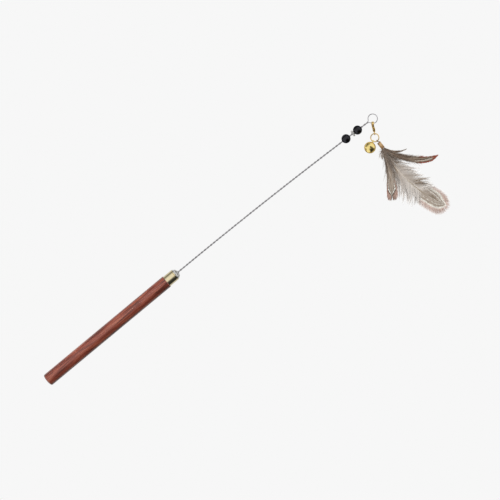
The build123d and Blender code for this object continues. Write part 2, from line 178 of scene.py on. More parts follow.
class Tree:
    """Short hand for one node tree."""

    def __init__(self, tree):
        self.tree = tree

    def add(self, kind, values=None, **settings):
        """New node with its settings, then its input values or links by socket name."""
        node = self.tree.nodes.new(kind)
        for key, value in settings.items():
            setattr(node, key, value)
        for key, value in (values or {}).items():
            self.feed(node.inputs[key], value)
        return node

    def feed(self, socket, value):
        """Link a socket, or set its value."""
        if isinstance(value, bpy.types.NodeSocket):
            self.tree.links.new(value, socket)
        elif socket.type == "RGBA" and len(value) == 3:
            socket.default_value = (*value, 1)
        else:
            socket.default_value = value

    def dip(self, shader, **values):
        """Feed a shader's sockets, named with low lines for spaces."""
        for key, value in values.items():
            self.feed(shader.inputs[key.replace("_", " ")], value)

    def maths(self, operation, *values):
        """Result of a maths node."""
        node = self.add("ShaderNodeMath", operation=operation)
        for socket, value in zip(node.inputs, values):
            self.feed(socket, value)
        return node.outputs[0]

    def times(self, first, *others):
        """Product of values."""
        for other in others:
            first = self.maths("MULTIPLY", first, other)
        return first

    def ramp(self, factor, *stops):
        """Colour ramp through (place, colour or grey) stops."""
        node = self.add("ShaderNodeValToRGB", {"Fac": factor})
        elements = node.color_ramp.elements
        while len(elements) < len(stops):
            elements.new(1)
        for element, (place, shade) in zip(elements, stops):
            element.position = place
            shade = (shade,) * 3 if isinstance(shade, (int, float)) else tuple(shade)
            element.color = (*shade, 1)
        return node.outputs["Color"]

    def mix(self, factor, first, second, blend="MIX"):
        """Mix of two colours."""
        node = self.add("ShaderNodeMix", data_type="RGBA", blend_type=blend)
        # The colour sockets share their names with others, so they are taken by number
        for socket, value in zip((node.inputs[0], node.inputs[6], node.inputs[7]), (factor, first, second)):
            self.feed(socket, value)
        return node.outputs[2]

    def stain(self, ground, dye, *shares):
        """Colour stained with another by the product of shares."""
        return self.mix(self.times(*shares), ground, dye)

    def dot(self, first, second):
        """Dot product of two directions."""
        node = self.add("ShaderNodeVectorMath", operation="DOT_PRODUCT")
        for socket, value in zip(node.inputs, (first, second)):
            self.feed(socket, value)
        return node.outputs["Value"]

    def span(self, value, low, high, to_low=0, to_high=1):
        """Value carried smoothly from one range to another."""
        node = self.add(
            "ShaderNodeMapRange",
            {"Value": value, "From Min": low, "From Max": high, "To Min": to_low, "To Max": to_high},
            interpolation_type="SMOOTHSTEP",
        )
        return node.outputs[0]


def material(name, **fixed):
    """New material with a Principled shader and its fixed values; gives the material, its tree and shader."""
    made = bpy.data.materials.new(name)
    made.use_nodes = True
    tree = Tree(made.node_tree)
    shader = made.node_tree.nodes["Principled BSDF"]
    tree.dip(shader, **fixed)
    return made, tree, shader


def handling_group():
    """Node group: soft cloudy marks of handling and fine scratches, on the piece's own coordinates."""
    name = "handling_marks"
    if name in bpy.data.node_groups:
        return bpy.data.node_groups[name]
    group = bpy.data.node_groups.new(name, "ShaderNodeTree")
    for label, default in (("Cloud Scale", 300.0), ("Scratch Scale", 2500.0)):
        socket = group.interface.new_socket(label, in_out="INPUT", socket_type="NodeSocketFloat")
        socket.default_value = default
    for label in ("Cloud", "Scratch"):
        group.interface.new_socket(label, in_out="OUTPUT", socket_type="NodeSocketFloat")
    tree = Tree(group)
    inlet, outlet = tree.add("NodeGroupInput"), tree.add("NodeGroupOutput")
    place = tree.add("ShaderNodeTexCoord").outputs["Object"]
    cloud = tree.add("ShaderNodeTexNoise", {"Vector": place, "Scale": inlet.outputs[0], "Detail": 3.0})
    tree.feed(outlet.inputs["Cloud"], cloud.outputs["Fac"])
    stretch = tree.add("ShaderNodeMapping", {"Vector": place, "Scale": (1, 1, 0.12)})
    scratch = tree.add(
        "ShaderNodeTexNoise", {"Vector": stretch.outputs[0], "Scale": inlet.outputs[1], "Detail": 2.0}
    )
    tree.feed(outlet.inputs["Scratch"], scratch.outputs["Fac"])
    return group


def handled(tree, cloud_scale, scratch_scale):
    """Cloud and scratch values of the handling group in a material."""
    scales = {"Cloud Scale": cloud_scale, "Scratch Scale": scratch_scale}
    node = tree.add("ShaderNodeGroup", scales, node_tree=handling_group())
    return node.outputs["Cloud"], node.outputs["Scratch"]


def plated(name, face, shade, low, high, scale=350.0, edge=(1, 1, 1)):
    """Polished plated metal: clouded colour, uneven polish and hairline scratches."""
    made, tree, shader = material(name, Metallic=1.0, Specular_Tint=edge)
    cloud, scratch = handled(tree, scale, scale * 9)
    clouded = tree.stain(face, shade, tree.span(cloud, 0.35, 0.7))
    polish = tree.span(scratch, 0.3, 0.75, low, high)
    bump = tree.add("ShaderNodeBump", {"Height": scratch, "Strength": 0.05, "Distance": 0.02 * mm})
    tree.dip(shader, Base_Color=clouded, Roughness=polish, Normal=bump.outputs[0])
    return made


def dimmed(shade, share):
    """Colour times a share."""
    return tuple(c * share for c in shade)


# Meshes


def upright(origin, axis):
    """Matrix that turns Z to a direction of the wand's plane, at a place."""
    z = Vector(axis).normalized()
    x = Vector((0, -1, 0))
    return Matrix.Translation(origin) @ Matrix((x, z.cross(x), z)).transposed().to_4x4()


def hoop(bm, place, radius, wire, steps, sides):
    """Closed ring of round wire about Z, moved to its place."""
    old = set(bm.verts)
    section = Matrix.Translation((radius, 0, 0)) @ Matrix.Rotation(pi / 2, 4, "X")
    start = bmesh.ops.create_circle(bm, segments=sides, radius=wire, matrix=section)["verts"]
    edges = list({edge for vert in start for edge in vert.link_edges})
    bmesh.ops.spin(
        bm, geom=start + edges, cent=(0, 0, 0), axis=(0, 0, 1), angle=2 * pi, steps=steps, use_merge=True
    )
    bmesh.ops.transform(bm, matrix=place, verts=[vert for vert in bm.verts if vert not in old])


def grain(bm, place, radius, flat=1.0):
    """Small cast grain."""
    matrix = place @ Matrix.Diagonal((1, 1, flat, 1))
    bmesh.ops.create_uvsphere(bm, u_segments=16, v_segments=10, radius=radius, matrix=matrix)


def tube(bm, points, radii):
    """Round tube along points near the wand's plane: a grid rolled up and joined along its seam."""
    sides = 8
    last = len(points) - 1
    out = Vector((0, 1, 0))
    verts = bmesh.ops.create_grid(bm, x_segments=sides, y_segments=last, size=1)["verts"]
    for vert in verts:
        row = round((vert.co.y + 1) / 2 * last)
        turn = pi * (vert.co.x + 1)
        ahead = (points[min(row + 1, last)] - points[max(row - 1, 0)]).normalized()
        across = out.cross(ahead).normalized()
        depth = ahead.cross(across)
        vert.co = points[row] + (across * cos(turn) + depth * sin(turn)) * radii[row]
    bmesh.ops.remove_doubles(bm, verts=verts, dist=1e-7)
    bmesh.ops.holes_fill(bm, edges=[edge for edge in bm.edges if edge.is_boundary], sides=sides)


def placed(bm, name, *finishes):
    """Object in the scene made from a bmesh, with its finishes."""
    mesh = bpy.data.meshes.new(name)
    bm.to_mesh(mesh)
    bm.free()
    for finish in finishes:
        mesh.materials.append(finish)
    piece = bpy.data.objects.new(name, mesh)
    bpy.context.scene.collection.objects.link(piece)
    return piece


def sheet(name, place, finish):
    """Flat sheet of half size one, moved and scaled to its place."""
    bm = bmesh.new()
    bmesh.ops.create_grid(bm, x_segments=1, y_segments=1, size=1, matrix=place)
    return placed(bm, name, finish)


def keep(bm, name, finishes, body, slot, *nodes):
    """Finished piece from a bmesh, shaded smooth, with its body and the solids that it stands for."""
    piece = placed(bm, name, *finishes)
    piece.data.polygons.foreach_set("use_smooth", [True] * len(piece.data.polygons))
    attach(piece, body)
    if nodes:
        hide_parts(*nodes)


def dress(finish, *nodes):
    """Give solids that keep their shape a finish."""
    for node in nodes:
        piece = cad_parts[node]
        for slot in piece.material_slots:
            slot.material = finish
        if not piece.material_slots:
            piece.data.materials.append(finish)


# Wand


class WAND_OT_handle(bpy.types.Operator):
    """Give the handle its oiled rosewood"""

    bl_idname = "wand.handle"
    bl_label = "Handle"

    def execute(self, context):
        looks = context.scene.wand_looks
        wood, tree, shader = material("oiled_rosewood", Coat_Weight=0.5, Coat_Roughness=0.25)
        place = tree.add("ShaderNodeTexCoord").outputs["Object"]

        def streaks(along, across, detail, twist):
            """Noise drawn out along the handle."""
            mapping = tree.add(
                "ShaderNodeMapping",
                {"Vector": place, "Rotation": (0, -wand_lean, 0), "Scale": (along, across, across)},
                vector_type="TEXTURE",
            )
            noise = tree.add(
                "ShaderNodeTexNoise",
                {"Vector": mapping.outputs[0], "Scale": 1.0, "Detail": detail, "Distortion": twist},
            )
            return noise.outputs["Fac"]

        figure = streaks(along=26 * mm, across=2.0 * mm, detail=4.0, twist=0.8)
        pores = streaks(along=6 * mm, across=0.28 * mm, detail=2.0, twist=0.0)
        body = tree.ramp(figure, (0.36, looks.wood_dark), (0.5, looks.wood_main), (0.66, looks.wood_light))
        pore = tree.ramp(pores, (0.3, 0.45), (0.46, 1.0))
        grown = tree.mix(1.0, body, pore, "MULTIPLY")
        polish = tree.span(figure, 0.2, 0.8, 0.4, 0.28)
        bump = tree.add("ShaderNodeBump", {"Height": pores, "Strength": 0.25, "Distance": 0.05 * mm})
        tree.dip(shader, Base_Color=grown, Roughness=polish, Normal=bump.outputs[0])
        dress(wood, "handle")
        return {"FINISHED"}


class WAND_OT_ferrule(bpy.types.Operator):
    """Polish the ferrule and work the filigree on its cap"""

    bl_idname = "wand.ferrule"
    bl_label = "Ferrule and cap"

    def execute(self, context):
        looks = context.scene.wand_looks
        dress(plated("polished_brass", looks.brass, dimmed(looks.brass, 0.88), 0.05, 0.12), "ferrule")
        silver = plated("cast_silver", looks.silver, dimmed(looks.silver, 0.72), 0.28, 0.45)
        dress(silver, "ferrule_cap")
        glue, tree, shader = material("cast_glue", Transmission_Weight=0.2, IOR=1.5)
        cloud, scratch = handled(tree, 900.0, 3000.0)
        amber = tree.ramp(cloud, (0.3, tone(120, 112, 92)), (0.7, tone(176, 168, 146)))
        tree.dip(shader, Base_Color=amber, Roughness=tree.span(scratch, 0.3, 0.7, 0.2, 0.4))
        dress(glue, "glue_bed")

        bm = bmesh.new()
        stand = upright((0, 0, 0), wand_axis)
        middle = Vector((0, 0, rim_top - dome_drop))

        def on_dome(polar, around):
            """Place on the dome, with Z out of it: degrees down from its top and a turn round it."""
            tilt = radians(polar)
            out = Vector((sin(tilt) * cos(around), sin(tilt) * sin(around), cos(tilt)))
            spot = middle + out * dome_radius
            return stand @ Matrix.Translation(spot) @ out.to_track_quat("Z", "Y").to_matrix().to_4x4()

        petal_polar = 43
        petal_radius = 0.92 * mm
        petal_wire = 0.2 * mm
        collar_radius = 1.25 * mm
        collar_wire = 0.28 * mm
        collar_level = rim_top + 3.6 * mm
        flatness = 0.8
        # Grains: degrees down from the dome's top, radius in mm and share of a step round it
        grains = ((62, 0.46, 0), (petal_polar, 0.34, 0), (24, 0.36, 0.5), (65, 0.3, 0.5))
        step = 2 * pi / looks.petals
        for petal in range(looks.petals):
            hoop(bm, on_dome(petal_polar, step * (petal + 0.5)), petal_radius, petal_wire, 24, 8)
            for polar, radius, shift in grains:
                grain(bm, on_dome(polar, step * (petal + shift)), radius * mm, flatness)
        collar = stand @ Matrix.Translation((0, 0, collar_level))
        hoop(bm, collar, collar_radius, collar_wire, 32, 8)
        bmesh.ops.recalc_face_normals(bm, faces=bm.faces)
        keep(bm, "cap_filigree", [silver], "wand", "silver")
        return {"FINISHED"}


def wire_place(along):
    """Place, heading and in-plane side of the bowed wire, a distance from the cap."""
    angle = wand_lean - along / bow_radius
    x = wire_root.x + bow_radius * (sin(wand_lean) - sin(angle))
    z = wire_root.z + bow_radius * (cos(angle) - cos(wand_lean))
    return Vector((x, 0, z)), Vector((cos(angle), 0, sin(angle))), Vector((-sin(angle), 0, cos(angle)))


class WAND_OT_wire(bpy.types.Operator):
    """Twist the wire from two strands that part into the eye"""

    bl_idname = "wand.wire"
    bl_label = "Twisted wire"

    def execute(self, context):
        looks = context.scene.wand_looks
        steel = plated("drawn_steel", looks.steel, dimmed(looks.steel, 0.8), 0.4, 0.55, 600.0)
        half = looks.strand / 2
        tip, ahead, side = wire_place(wire_length)
        hub = tip + ahead * eye_reach
        join = radians(22)
        under_cap = 3 * mm
        lead_pull = 1.6 * mm
        lay_steps = 14
        lead_steps = 7
        eye_steps = 48
        # Share of its width that a strand fills, so that the two don't run into each other
        parting = 0.98

        def strand(phase):
            """Points of one strand from under the cap to the neck."""
            last = round((wire_length + under_cap) / looks.lay * lay_steps)
            points = []
            for step in range(last + 1):
                along = wire_length - (last - step) * looks.lay / lay_steps
                spot, _, across = wire_place(along)
                angle = 2 * pi * (along - wire_length) / looks.lay + phase
                points.append(spot + (across * cos(angle) + Vector((0, sin(angle), 0))) * half)
            return points

        def on_eye(angle):
            """Point of the eye, an angle round from the neck."""
            return hub - ahead * (eye_radius * cos(angle)) + side * (eye_radius * sin(angle))

        def lead(sign):
            """Smooth lead from the end of a strand into the eye."""
            start = tip + side * half * sign
            end = on_eye(join * sign)
            pull = ahead * lead_pull
            push = (ahead * sin(join) + side * sign * cos(join)) * lead_pull
            points = []
            for step in range(1, lead_steps):
                t = step / lead_steps
                points.append(
                    start * (2 * t**3 - 3 * t**2 + 1) + pull * (t**3 - 2 * t**2 + t)
                    + end * (3 * t**2 - 2 * t**3) + push * (t**3 - t**2)
                )
            return points

        sweep = 2 * pi - 2 * join
        eye = [on_eye(join + sweep * step / eye_steps) for step in range(eye_steps + 1)]
        route = strand(0) + lead(1) + eye + lead(-1)[::-1] + strand(pi)[::-1]
        bm = bmesh.new()
        tube(bm, route, [half * parting] * len(route))
        bmesh.ops.recalc_face_normals(bm, faces=bm.faces)
        keep(bm, "twisted_wire", [steel], "wand", "steel_wire", "wire")
        return {"FINISHED"}


class WAND_OT_beads(bpy.types.Operator):
    """Polish the beads and cast the daisy spacer"""

    bl_idname = "wand.beads"
    bl_label = "Beads and spacer"

    def execute(self, context):
        looks = context.scene.wand_looks
        edge_tint = (0.12, 0.15, 0.19)
        glossy, tree, shader = material("polished_black", Metallic=1.0, Specular_Tint=edge_tint)
        cloud, scratch = handled(tree, 420.0, 2600.0)
        shade = tree.stain(looks.bead_black, tone(60, 59, 64), tree.span(cloud, 0.45, 0.75))
        tree.dip(shader, Base_Color=shade, Roughness=tree.span(scratch, 0.3, 0.8, 0.24, 0.34))
        dress(glossy, "lower_bead", "upper_bead")

        silver = plated("daisy_silver", looks.silver, dimmed(looks.silver, 0.95), 0.38, 0.52)
        spot, ahead, _ = wire_place(spacer_at)
        stand = upright(spot, ahead)
        grain_radius = 0.93 * mm
        grain_at = Matrix.Translation((2.22 * mm, 0, 0))
        rim_level = 0.62 * mm
        rim_radius = 1.36 * mm
        rim_wire = 0.3 * mm
        core_radius = 1.75 * mm
        core_wire = 0.72 * mm
        bm = bmesh.new()
        for place in range(looks.grains):
            turn = Matrix.Rotation(2 * pi * place / looks.grains, 4, "Z")
            grain(bm, stand @ turn @ grain_at, grain_radius)
        for level in (-rim_level, rim_level):
            hoop(bm, stand @ Matrix.Translation((0, 0, level)), rim_radius, rim_wire, 36, 10)
        hoop(bm, stand, core_radius, core_wire, 36, 12)
        bmesh.ops.recalc_face_normals(bm, faces=bm.faces)
        keep(bm, "daisy_spacer", [silver], "spacer", "silver", "spacer")
        return {"FINISHED"}


class WAND_OT_links(bpy.types.Operator):
    """Plate the clasp, its lever and the jump ring"""

    bl_idname = "wand.links"
    bl_label = "Clasp and ring"

    def execute(self, context):
        looks = context.scene.wand_looks
        gold = plated("plated_gold", looks.gold, dimmed(looks.gold, 0.72), 0.2, 0.36)
        dress(gold, "clasp_body", "clasp_trigger", "clasp_rivet", "jump_ring")
        dress(plated("spring_steel", looks.steel, dimmed(looks.steel, 0.7), 0.2, 0.4), "clasp_spring")
        return {"FINISHED"}


class WAND_OT_bell(bpy.types.Operator):
    """Plate the bell and its pellet"""

    bl_idname = "wand.bell"
    bl_label = "Bell"

    def execute(self, context):
        looks = context.scene.wand_looks
        edge_tint = tone(196, 150, 74)
        worn = dimmed(looks.bell_gold, 0.86)
        gold = plated("bell_plating", looks.bell_gold, worn, 0.13, 0.24, 260.0, edge_tint)
        dress(gold, "bell_crown", "bell_cup", "bell_strap")
        dress(plated("pellet_steel", tone(120, 118, 116), tone(70, 68, 66), 0.3, 0.5), "bell_pellet")
        return {"FINISHED"}


class WAND_OT_crimp(bpy.types.Operator):
    """Plate the folded feather crimp"""

    bl_idname = "wand.crimp"
    bl_label = "Feather crimp"

    def execute(self, context):
        looks = context.scene.wand_looks
        dress(plated("crimp_plating", looks.crimp_gold, tone(128, 92, 58), 0.16, 0.36), "feather_crimp")
        return {"FINISHED"}


# Feathers


def table(stops, at):
    """Value at a place in a table of (place, value) stops."""
    for (low, first), (high, second) in zip(stops, stops[1:]):
        if at <= high:
            return first + (second - first) * max(0, (at - low) / (high - low))
    return stops[-1][1]


class Shaft:
    """Line of a feather's shaft: it turns in the wand's plane, by degrees, and sweeps out of it."""

    def __init__(self, root, length, angle, turn, sweep):
        self.root, self.length, self.sweep = root, length, sweep
        self.start, self.bend = radians(angle), radians(turn) / length
        self.tip = self.flat(length)
        self.chord = hypot(*self.tip)

    def flat(self, along):
        """Place in the wand's plane, from the root."""
        here = self.start + self.bend * along
        return (sin(here) - sin(self.start)) / self.bend, (cos(self.start) - cos(here)) / self.bend

    def at(self, share):
        """Place and heading at a share of the length."""
        x, z = self.flat(share * self.length)
        run = (x * self.tip[0] + z * self.tip[1]) / self.chord**2
        place = self.root + Vector((x, self.sweep * run * run, z))
        return place, self.start + self.bend * share * self.length


class Plume:
    """Mesh of one feather under way."""

    def __init__(self, looks, shaft, seed):
        self.looks, self.shaft, self.chance = looks, shaft, Random(seed)
        self.bm = bmesh.new()
        self.uv = self.bm.loops.layers.uv.new("barb")
        self.tint = self.bm.verts.layers.float.new("tint")

    def rib(self, root, tip, reach):
        """Tapering shaft of the feather: its radii in mm, and the share of the length that it reaches."""
        rows = 30
        points = [self.shaft.at(reach * row / rows)[0] for row in range(rows + 1)]
        tube(self.bm, points, [(root + (tip - root) * row / rows) * mm for row in range(rows + 1)])
        for face in self.bm.faces:
            face.material_index = 1

    def barbs(self, side, count, length, leave, finish, wide, ragged, stray, puff, tuft=1):
        """Run of barbs on one side: columns of a grid curved into strips, with every second one taken out.

        Seen from the front, side 1 leaves the shaft anticlockwise and side -1 clockwise. The tables give the
        length in mm and the angles to the shaft at a barb's two ends in degrees, by the share of the shaft.
        Wide is a barb's width in usual ones. Ragged, stray and puff are how much the barbs differ: in length
        by a share, in angle by degrees and out of the plane by mm. The barbs of a tuft drift together.
        """
        rows = 6
        chance = self.chance
        plan = []
        count = max(2, round(count * self.looks.fullness))
        start, end = length[0][0], length[-1][0]
        for number in range(count):
            if number % tuft == 0:
                drift = chance.gauss(0, stray)
                trim = 1 - ragged * chance.random()
                swell = chance.gauss(0, puff)
                shade = chance.random()
            share = start + (end - start) * (number + chance.random()) / count
            spot, heading = self.shaft.at(share)
            reach = table(length, share) * mm * trim * (1 - ragged / 3 * chance.random())
            own = chance.gauss(0, stray / 5)
            first = heading + side * radians(table(leave, share) + drift + own)
            final = heading + side * radians(table(finish, share) + 1.5 * drift + 2 * own)
            lift = (swell + chance.gauss(0, puff / 3)) * mm
            tint = 0.7 * shade + 0.3 * chance.random()
            plan.append((share, spot, reach, first, final - first or 1e-4, lift, tint))
        columns = 2 * count - 1
        made = bmesh.ops.create_grid(self.bm, x_segments=columns, y_segments=rows, size=1)["verts"]
        facts = {}
        for vert in made:
            column = round((vert.co.x + 1) / 2 * columns)
            along = (vert.co.y + 1) / 2
            share, spot, reach, first, turn, lift, tint = plan[column // 2]
            angle = first + turn * along
            run = Vector((sin(angle) - sin(first), 0, cos(first) - cos(angle))) * (reach / turn)
            across = Vector((-sin(angle), 0, cos(angle)))
            half = self.looks.barb * wide * (1 - along**3) ** 0.5 * (0.5 - column % 2)
            facts[vert] = (column, 0.5 + side * along / 2, share)
            vert.co = spot + run + across * half + Vector((0, lift * along**1.5, 0))
            vert[self.tint] = tint
        faces = {face for vert in made for face in vert.link_faces}
        for face in faces:
            for loop in face.loops:
                loop[self.uv].uv = facts[loop.vert][1:]
        gaps = [face for face in faces if min(facts[vert][0] for vert in face.verts) % 2]
        bmesh.ops.delete(self.bm, geom=gaps, context="FACES")


def feather_finish(name, looks, paint):
    """Feather material: paint gives colour and opacity from the barb, the shaft, the side and a tint."""
    made, tree, shader = material(name, Roughness=0.8, Sheen_Weight=0.2, Sheen_Roughness=0.4)
    place = tree.add("ShaderNodeUVMap", uv_map="barb").outputs[0]
    split = tree.add("ShaderNodeSeparateXYZ", {"Vector": place})
    side = split.outputs["X"]
    out = tree.times(tree.maths("ABSOLUTE", tree.maths("SUBTRACT", side, 0.5)), 2.0)
    tint = tree.add("ShaderNodeAttribute", attribute_name="tint").outputs["Fac"]
    shade, opacity = paint(looks, tree, out, split.outputs["Y"], side, tint)
    streak = tree.ramp(tint, (0.1, 0.78), (0.5, 0.95), (0.9, 1.0))
    tree.dip(shader, Base_Color=tree.mix(1.0, shade, streak, "MULTIPLY"), Alpha=opacity)
    return made


def flecks(tree, barb, share, across, along):
    """Noise over the barbs, finer along the barb or along the shaft as the numbers grow."""
    spot = {"X": tree.times(barb, across), "Y": tree.times(share, along)}
    place = tree.add("ShaderNodeCombineXYZ", spot).outputs[0]
    return tree.add("ShaderNodeTexNoise", {"Vector": place, "Scale": 1.0, "Detail": 2.0}).outputs["Fac"]


def ripple(tree, out, share):
    """Reach along the barb with a slow waver, for marks that run unevenly from barb to barb."""
    scale = 14.0
    depth = 0.16
    waver = tree.maths("SUBTRACT", flecks(tree, out, share, scale, scale), 0.5)
    return tree.maths("ADD", out, tree.times(waver, depth))


def shaft_finish(name, pale, dark, *turns):
    """Horny feather shaft with cloudy colour, which may turn to another colour below each height given."""
    blend = 3 * mm
    made, tree, shader = material(name)
    cloud, scratch = handled(tree, 120.0, 2000.0)
    shade = tree.ramp(cloud, (0.35, pale), (0.7, dark))
    place = tree.add("ShaderNodeTexCoord").outputs["Object"]
    height = tree.add("ShaderNodeSeparateXYZ", {"Vector": place}).outputs["Z"]
    for turn, below in turns:
        shade = tree.stain(shade, below, tree.span(height, turn + blend, turn - blend))
    tree.dip(shader, Base_Color=shade, Roughness=tree.span(scratch, 0.3, 0.7, 0.3, 0.5))
    return made


def downy_paint(looks, tree, out, share, side, tint):
    """Mottled down with pale ends, and a tip with rings of marks."""
    span, stain = tree.span, tree.stain
    onward = tree.maths("ADD", share, span(side, 0.5, 0.6, 0, 0.04))
    down = tree.ramp(
        onward, (0.19, looks.down_dark), (0.24, looks.taupe), (0.31, looks.down_mid), (0.46, looks.down_light)
    )
    mottle = span(flecks(tree, side, share, 12.0, 26.0), 0.4, 0.62, 0, 0.5)
    down = stain(down, looks.tawny, mottle, span(share, 0.4, 0.24))
    # Pale ends, which begin nearer the crimp on the right
    early = tree.times(span(side, 0.68, 0.82, 0, 0.9), span(share, 0.08, 0.17, 0.2, 1))
    early = tree.maths("MAXIMUM", span(share, 0.1, 0.26, 0.1, 1), early)
    down = stain(down, looks.down_pale, span(out, 0.22, 0.9, 0, 0.85), early)
    # Dull patch on the right, dull line by the shaft and dull barbs above the tip
    across = tree.times(span(side, 0.5, 0.58, 0, 0.5), span(side, 0.9, 0.76))
    down = stain(down, looks.taupe, across, span(share, 0.3, 0.38), span(share, 0.56, 0.48))
    down = stain(down, looks.taupe, span(out, 0.1, 0.0, 0, 0.7), span(share, 0.36, 0.44))
    bars = tree.times(span(side, 0.55, 0.62), span(tint, 0.4, 0.55, 0, 0.9))
    down = stain(down, looks.taupe, bars, span(share, 0.42, 0.47), span(share, 0.58, 0.54))
    # Opacity of the down and of the tip
    thin = tree.ramp(out, (0.0, 1.0), (0.6, 0.85), (1.0, 0.35))
    firm = tree.ramp(out, (0.52, 1.0), (0.7, 0.8), (0.88, 0.42), (1.0, 0.05))
    soft = tree.maths("MAXIMUM", span(share, 0.64, 0.76, 0.5, 1), span(side, 0.8, 0.7))
    firm = tree.times(firm, soft)
    # Marks of the tip on the left and on the right of the shaft
    out = ripple(tree, out, share)
    left = tree.ramp(
        out, (0.06, looks.tawny), (0.12, looks.fawn), (0.2, looks.tawny), (0.25, looks.cream),
        (0.29, looks.tawny), (0.38, looks.tawny), (0.44, looks.cream), (0.5, looks.cream),
        (0.58, looks.blush),
    )
    inward = tree.maths("ADD", out, span(share, 0.74, 0.86, 0, 0.16))
    right = tree.ramp(
        inward, (0.12, looks.drab), (0.24, looks.taupe), (0.34, looks.fawn), (0.38, looks.cream),
        (0.43, looks.tawny), (0.52, looks.fawn), (0.57, looks.cream), (0.64, looks.cream),
        (0.72, looks.blush),
    )
    right = stain(right, looks.fawn, span(out, 0.36, 0.28, 0, 0.8), span(share, 0.76, 0.68))
    marks = tree.mix(span(side, 0.49, 0.51), left, right)
    broken = span(flecks(tree, side, share, 9.0, 60.0), 0.42, 0.58, 0, 0.8)
    marks = stain(marks, looks.tawny, broken, span(side, 0.72, 0.6, 0.2, 1), span(out, 0.5, 0.4))
    marks = stain(marks, looks.rosy, span(side, 0.22, 0.14, 0, 0.6), span(share, 0.72, 0.8))
    tip = span(share, 0.59, 0.67)
    return tree.mix(tip, down, marks), tree.mix(tip, thin, firm)


class WAND_OT_feather_large(bpy.types.Operator):
    """Grow the large downy feather with its marked tip"""

    bl_idname = "wand.feather_large"
    bl_label = "Large feather"

    def execute(self, context):
        looks = context.scene.wand_feathers
        shaft = Shaft(feather_root + back_layer, length=84 * mm, angle=-60.3, turn=39.7, sweep=6 * mm)
        plume = Plume(looks, shaft, seed=11)
        plume.rib(root=0.4, tip=0.14, reach=0.9)
        # Down on the left and on the right
        left_leave = ((0.02, 20), (0.24, 24), (0.47, 34), (0.64, 52))
        plume.barbs(
            -1, 560, ((0.02, 11), (0.12, 20), (0.22, 33), (0.36, 32), (0.47, 27), (0.6, 16), (0.62, 15)),
            left_leave, ((0.02, 16), (0.24, 42), (0.47, 54), (0.64, 68)),
            wide=0.9, ragged=0.35, stray=4, puff=1.8, tuft=9,
        )
        plume.barbs(
            1, 520, ((0.0, 9), (0.12, 18), (0.24, 24), (0.47, 23), (0.62, 17.5)),
            ((0.0, 36), (0.06, 44), (0.24, 50), (0.62, 54)),
            ((0.0, 22), (0.1, 34), (0.24, 38), (0.62, 42)),
            wide=0.9, ragged=0.3, stray=3.5, puff=1.8, tuft=9,
        )
        # Firm tip
        tip_cut = dict(wide=1.1, ragged=0.08, stray=0.8, puff=0.3)
        plume.barbs(
            1, 320, ((0.61, 16.5), (0.71, 16.5), (0.8, 15), (0.88, 10.5), (0.9, 10)),
            ((0.6, 56), (0.71, 54), (0.8, 46), (0.88, 32), (0.9, 3)),
            ((0.6, 44), (0.71, 40), (0.8, 30), (0.88, 20), (0.9, 2)), **tip_cut,
        )
        plume.barbs(
            -1, 350, ((0.58, 15), (0.64, 15), (0.71, 16.5), (0.8, 17), (0.85, 14.5), (0.88, 11.5), (0.9, 10)),
            ((0.58, 46), (0.64, 58), (0.71, 56), (0.8, 52), (0.85, 44), (0.88, 32), (0.9, 3)),
            ((0.58, 62), (0.64, 60), (0.71, 48), (0.8, 42), (0.85, 32), (0.88, 20), (0.9, 2)), **tip_cut,
        )
        # Web of broad barbs within the down
        web_cut = dict(wide=5, ragged=0.25, stray=1, puff=0.1)
        plume.barbs(
            -1, 80, ((0.02, 7), (0.12, 12), (0.22, 19), (0.36, 19), (0.47, 16), (0.58, 11)),
            left_leave, ((0.02, 18), (0.24, 34), (0.47, 45), (0.64, 60)), **web_cut,
        )
        plume.barbs(
            1, 80, ((0.02, 7), (0.12, 10), (0.24, 14), (0.47, 14), (0.58, 13)),
            ((0.02, 36), (0.24, 50), (0.62, 54)), ((0.02, 28), (0.24, 44), (0.62, 48)), **web_cut,
        )
        # Loose tuft on the right, and down about the quill
        plume.barbs(
            1, 60, ((0.18, 12), (0.3, 20)), ((0.18, 62), (0.3, 56)), ((0.18, 50), (0.3, 44)),
            wide=1.2, ragged=0.4, stray=4, puff=1.0, tuft=5,
        )
        for side in (-1, 1):
            plume.barbs(
                side, 140, ((0.0, 9), (0.2, 13)), ((0.0, 14), (0.2, 24)), ((0.0, 6), (0.2, 12)),
                wide=1.2, ragged=0.3, stray=3, puff=1.0, tuft=4,
            )
        bends = ((152 * mm, tone(200, 189, 175)), (139 * mm, tone(152, 139, 114)), (125 * mm, looks.cream))
        horn = shaft_finish("pale_shaft", tone(128, 114, 102), tone(104, 92, 84), *bends)
        finish = [feather_finish("downy_barbs", looks, downy_paint), horn]
        keep(plume.bm, "downy_feather", finish, "lure", "downy_feather", "feather_large")
        return {"FINISHED"}


